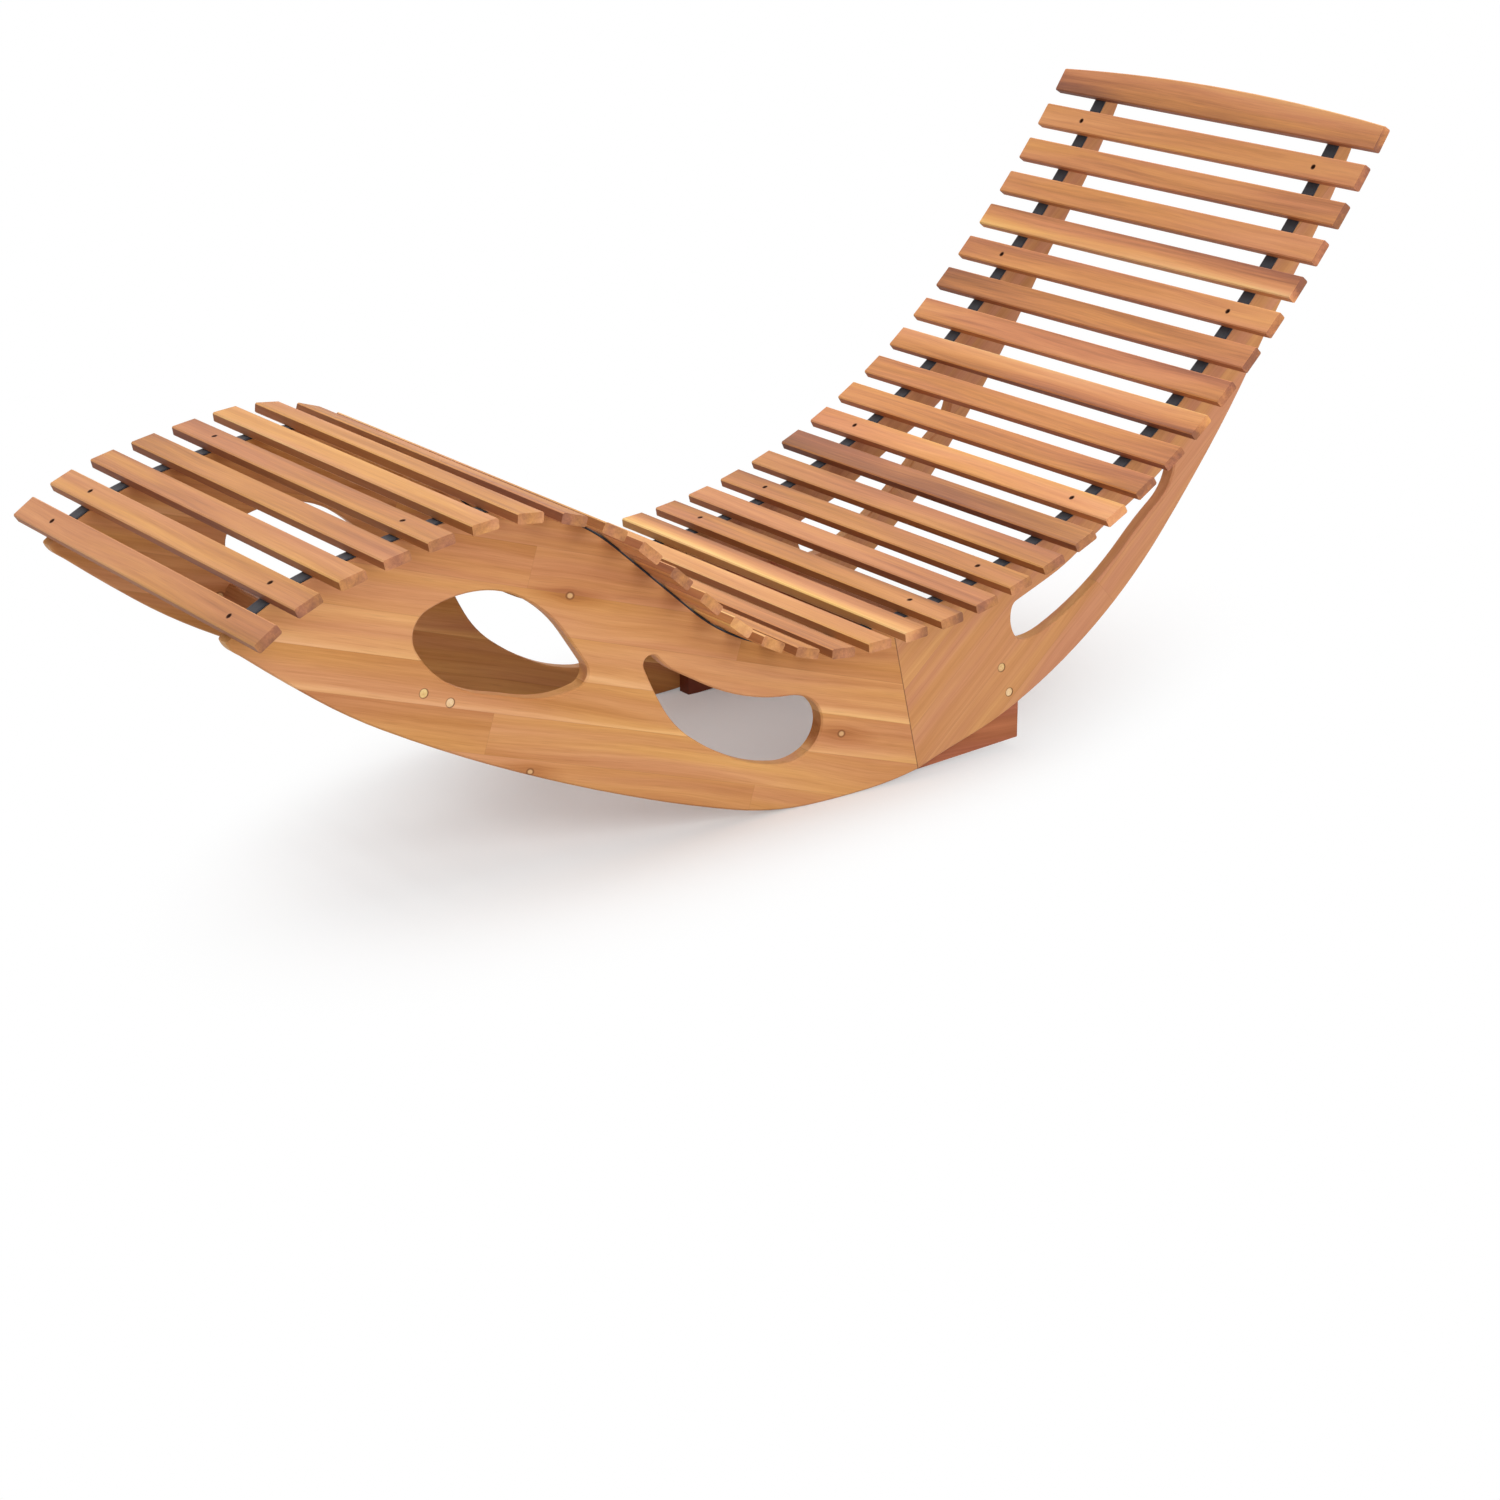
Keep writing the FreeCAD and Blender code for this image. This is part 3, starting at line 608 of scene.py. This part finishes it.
def strap(name, side):
    """Woven strap stretched along the seat line; its ribs lie in columns, half shifted by turns."""
    rows = 2 * round((STRAP_END - STRAP_START) / RIB_LENGTH)
    mesh = bmesh.new()
    rings = []
    for n in range(rows + 1):
        place = STRAP_START + (STRAP_END - STRAP_START) * n / rows
        matrix = seat_frame(place, STRAP_THICKNESS / 2, side * FRAME_MIDDLE)
        section = strap_section(1.0 if n % 4 in (1, 2) else 0.0)
        rings.append([mesh.verts.new(matrix @ Vector((0, y * MM, z * MM))) for y, z in section])
    for a, b in zip(rings, rings[1:]):
        for i in range(len(a)):
            j = (i + 1) % len(a)
            mesh.faces.new((a[i], a[j], b[j], b[i]))
    mesh.faces.new(reversed(rings[0]))
    mesh.faces.new(rings[-1])
    bmesh.ops.recalc_face_normals(mesh, faces=mesh.faces)
    data = mesh_data(name, mesh)
    data.shade_smooth()
    return data


# Rings of a screw's head from the bottom of its cross recess to its underside: radius, height, and
# whether the ring is a cross; and a cross's reach in each sixth of a quarter turn
HEAD_RINGS = ((0.55, 0.45, True), (1.0, 1.42, True), (1.75, 1.3, False), (2.15, 1.05, False),
              (2.4, 0.6, False), (2.3, 0.0, False))
CROSS_REACH = (1.35, 1.15, 0.5, 0.5, 0.5, 1.15)
# Radians by which a screw's cross is turned from one slat to the next
SCREW_TURN = 0.4


def screw_head():
    """Domed head with a cross recess, in metres, standing on Z = 0."""
    mesh = bmesh.new()
    count = 4 * len(CROSS_REACH)
    rings = []
    for radius, z, cross in HEAD_RINGS:
        ring = []
        for n in range(count):
            angle = math.tau * n / count
            reach = radius * (CROSS_REACH[n % len(CROSS_REACH)] if cross else 1)
            place = Vector((reach * math.cos(angle), reach * math.sin(angle), z))
            ring.append(mesh.verts.new(place * MM))
        rings.append(ring)
    for a, b in zip(rings, rings[1:]):
        for i in range(count):
            j = (i + 1) % count
            mesh.faces.new((a[i], b[i], b[j], a[j]))
    mesh.faces.new(rings[0])
    mesh.faces.new(reversed(rings[-1]))
    bmesh.ops.recalc_face_normals(mesh, faces=mesh.faces)
    return mesh


def make_pieces():
    """The two straps, and the heads of the screws in the slats' recesses."""
    steel, web = screw_steel(), webbing()
    for side_name, side in SIDES:
        name = side_name + "_webbing"
        ribbon = piece(name, strap(name, side), web)
        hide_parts(side_name + "_strap")
        for number in SCREWED_SLATS:
            head = screw_head()
            rise = slat_rise(number) + SLAT_THICKNESS - RECESS_DEPTH
            turn = Matrix.Rotation(SCREW_TURN * number + side, 4, "Z")
            head.transform(seat_frame(slat_place(number), rise, side * FRAME_MIDDLE) @ turn)
            name = "%s_screw_%02d" % (side_name, number)
            piece(name, mesh_data(name, head), steel)


HEEL_TONES = colours((122, 62, 40), (160, 92, 62), (184, 112, 80), (204, 134, 98))
RAIL_TONES = colours((120, 72, 42), (160, 104, 66), (188, 130, 88), (206, 152, 106))
DOWEL_TONES = colours((216, 170, 112), (243, 210, 154), (254, 232, 186))
# Heels: the angle of their grain, and the places along it between which the level rises, with both
# levels; the hidden front end is darker, as painted shade
HEEL_ANGLE, HEEL_DARK, HEEL_PLAIN, HEEL_LEVELS = -4.1, 90, 150, (-0.2, 0.5)
# Seeds of the heels by side and of the rails by name; a side's dowels have the heel's and this much more
HEEL_SEEDS, RAIL_SEEDS, DOWEL_STEP = {"left": 3.1, "right": 8.3}, {"front": 6.0, "rear": 9.4}, 1.9


# Level of a heel, with painted shade at its front end
def heel_level(g, along, across):
    return g.between(along, HEEL_DARK * MM, HEEL_PLAIN * MM, *HEEL_LEVELS)


def finish_nodes():
    """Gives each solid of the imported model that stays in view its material."""
    nodes = {thing["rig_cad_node"]: thing for thing in bpy.context.scene.objects
             if "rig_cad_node" in thing}

    def finish(name, material):
        data = nodes[name].data
        data.materials.clear()
        data.materials.append(material)

    for number in range(1, SLAT_COUNT + 1):
        finish("slat_%02d" % number, slat_wood(number))
    for side, seed in HEEL_SEEDS.items():
        for board in FRAME_BOARDS:
            finish("%s_%s_board" % (side, board), frame_wood(side, board))
        finish(side + "_heel", wood(side + "_heel_wood", grain_axes(HEEL_ANGLE), HEEL_TONES, seed,
                                    heel_level, figure=0.9))
        finish(side + "_rail_dowels", wood(side + "_dowel_wood", ((0, 1, 0), (1, 0, 0), (0, 0, 1)),
                                           DOWEL_TONES, seed + DOWEL_STEP, figure=1.2))
    for rail, (_, _, tilt) in RAILS.items():
        across, through, _ = grain_axes(tilt)
        finish(rail + "_rail", wood(rail + "_rail_wood", ((0, 1, 0), across, through), RAIL_TONES,
                                    RAIL_SEEDS[rail]))


# Half the floor's side in metres, and the floor's colour as seen and as it lights the lounger
FLOOR_REACH, FLOOR_SEEN, FLOOR_BOUNCE = 30.0, (0.955, 0.96, 0.965), (0.55, 0.54, 0.53)
# Share of the floor that glows for the camera: least and most, and the shares of an ellipse where it
# starts and stops rising; the ellipse has its middle, half lengths and turn in the floor
GLOW_LEAST, GLOW_MOST, GLOW_FROM, GLOW_TO = 0.13, 1.0, 0.38, 1.40
GLOW_MIDDLE, GLOW_REACH, GLOW_TURN = (103, 39), (813, 316), 21.2


def seen(g):
    """1 for the rays of the camera, of reflections and of clear glass, and 0 for those that light."""
    path = g.add("LightPath")
    rays = g.total(*(path.outputs["Is %s Ray" % kind] for kind in ("Camera", "Glossy", "Transmission")))
    return g.math("MINIMUM", rays, 1.0)


def stage_floor():
    """White floor; a share of it glows for the camera, and the rest takes the lounger's shadow."""
    g = Graph("pale_floor")
    rays = seen(g)
    point = g.add("TexCoord").outputs["Object"]
    turn = math.radians(GLOW_TURN)
    axes = (math.cos(turn), math.sin(turn), 0), (-math.sin(turn), math.cos(turn), 0)
    shares = []
    for axis, reach in zip(axes, GLOW_REACH):
        middle = GLOW_MIDDLE[0] * axis[0] + GLOW_MIDDLE[1] * axis[1]
        shares.append(g.math("MULTIPLY_ADD", g.dot(point, axis), 1 / (reach * MM), -middle / reach))
    glowing = g.between(g.length(*shares), GLOW_FROM, GLOW_TO, GLOW_LEAST, GLOW_MOST,
                        interpolation_type="SMOOTHSTEP")
    g.put(g.shader.inputs["Base Color"], g.mix(rays, opaque(FLOOR_BOUNCE), opaque(FLOOR_SEEN)))
    g.put(g.shader.inputs["Roughness"], 0.9)
    g.put(g.shader.inputs["Specular IOR Level"], 0.1)
    glow = g.add("Emission", {"Color": (1, 1, 1, 1), "Strength": 1.0})
    blend = g.add("MixShader", {0: g.math("MULTIPLY", rays, glowing), 1: g.shader.outputs[0],
                                2: glow.outputs[0]})
    output = next(n for n in g.nodes if n.type == "OUTPUT_MATERIAL")
    g.put(output.inputs["Surface"], blend.outputs[0])
    data = bpy.data.meshes.new("floor")
    far = FLOOR_REACH
    corners = [(-far, -far, 0), (far, -far, 0), (far, far, 0), (-far, far, 0)]
    data.from_pydata(corners, [], [(0, 1, 2, 3)])
    data.materials.append(g.material)
    floor = bpy.data.objects.new("floor", data)
    bpy.context.scene.collection.objects.link(floor)


def studio(strength):
    """World of even light, which the camera, reflections and clear glass show as white."""
    world = bpy.data.worlds.new("studio")
    bpy.context.scene.world = world
    world.use_nodes = True
    nodes, links = world.node_tree.nodes, world.node_tree.links
    path = nodes.new("ShaderNodeLightPath")
    even, white = nodes["Background"], nodes.new("ShaderNodeBackground")
    mixed = nodes.new("ShaderNodeMixShader")
    shown = path.outputs["Is Camera Ray"]
    for kind in ("Glossy", "Transmission"):
        either = nodes.new("ShaderNodeMath")
        either.operation = "MAXIMUM"
        links.new(shown, either.inputs[0])
        links.new(path.outputs["Is %s Ray" % kind], either.inputs[1])
        shown = either.outputs[0]
    for background, level in ((even, strength), (white, 1.0)):
        background.inputs["Color"].default_value = (1, 1, 1, 1)
        background.inputs["Strength"].default_value = level
    links.new(shown, mixed.inputs[0])
    links.new(even.outputs[0], mixed.inputs[1])
    links.new(white.outputs[0], mixed.inputs[2])
    links.new(mixed.outputs[0], nodes["World Output"].inputs["Surface"])


def lamp(name, energy, spread, towards):
    """Distant lamp of a wide angle, in the direction that its light comes from."""
    light = bpy.data.lights.new(name, "SUN")
    light.energy = energy
    light.angle = math.radians(spread)
    thing = bpy.data.objects.new(name, light)
    thing.rotation_euler = Vector(towards).to_track_quat("Z", "Y").to_euler()
    bpy.context.scene.collection.objects.link(thing)


# Camera at the photograph's place, solved from the corners of 25 slats: place in metres, heading and
# dip, and focal length and width of the sensor
CAMERA_PLACE = (-2.216578, -3.226999, 1.375407)
CAMERA_HEADING, CAMERA_DIP, CAMERA_LENS, SENSOR = 55.1542, 19.4487, 80.8635, 36.0


def make_camera():
    """Camera level to the left and right, which looks along its heading and down by its dip."""
    lens = bpy.data.cameras.new("camera")
    lens.sensor_width = SENSOR
    lens.lens = CAMERA_LENS
    camera = bpy.data.objects.new("camera", lens)
    heading, dip = math.radians(CAMERA_HEADING), math.radians(CAMERA_DIP)
    look = Vector((math.cos(dip) * math.cos(heading), math.cos(dip) * math.sin(heading), -math.sin(dip)))
    right = Vector((math.sin(heading), -math.cos(heading), 0))
    turn = Matrix((right, right.cross(look), -look)).transposed().to_4x4()
    camera.matrix_world = Matrix.Translation(CAMERA_PLACE) @ turn
    bpy.context.scene.collection.objects.link(camera)
    bpy.context.scene.camera = camera


make_pieces()
finish_nodes()
stage_floor()
studio(strength=0.30)
lamp("overhead", energy=1.75, spread=60, towards=(0.05, 0.25, 1.0))
lamp("front", energy=2.0, spread=60, towards=(0.0, -1.0, 0.40))
make_camera()
bpy.context.scene.view_settings.view_transform = "Standard"
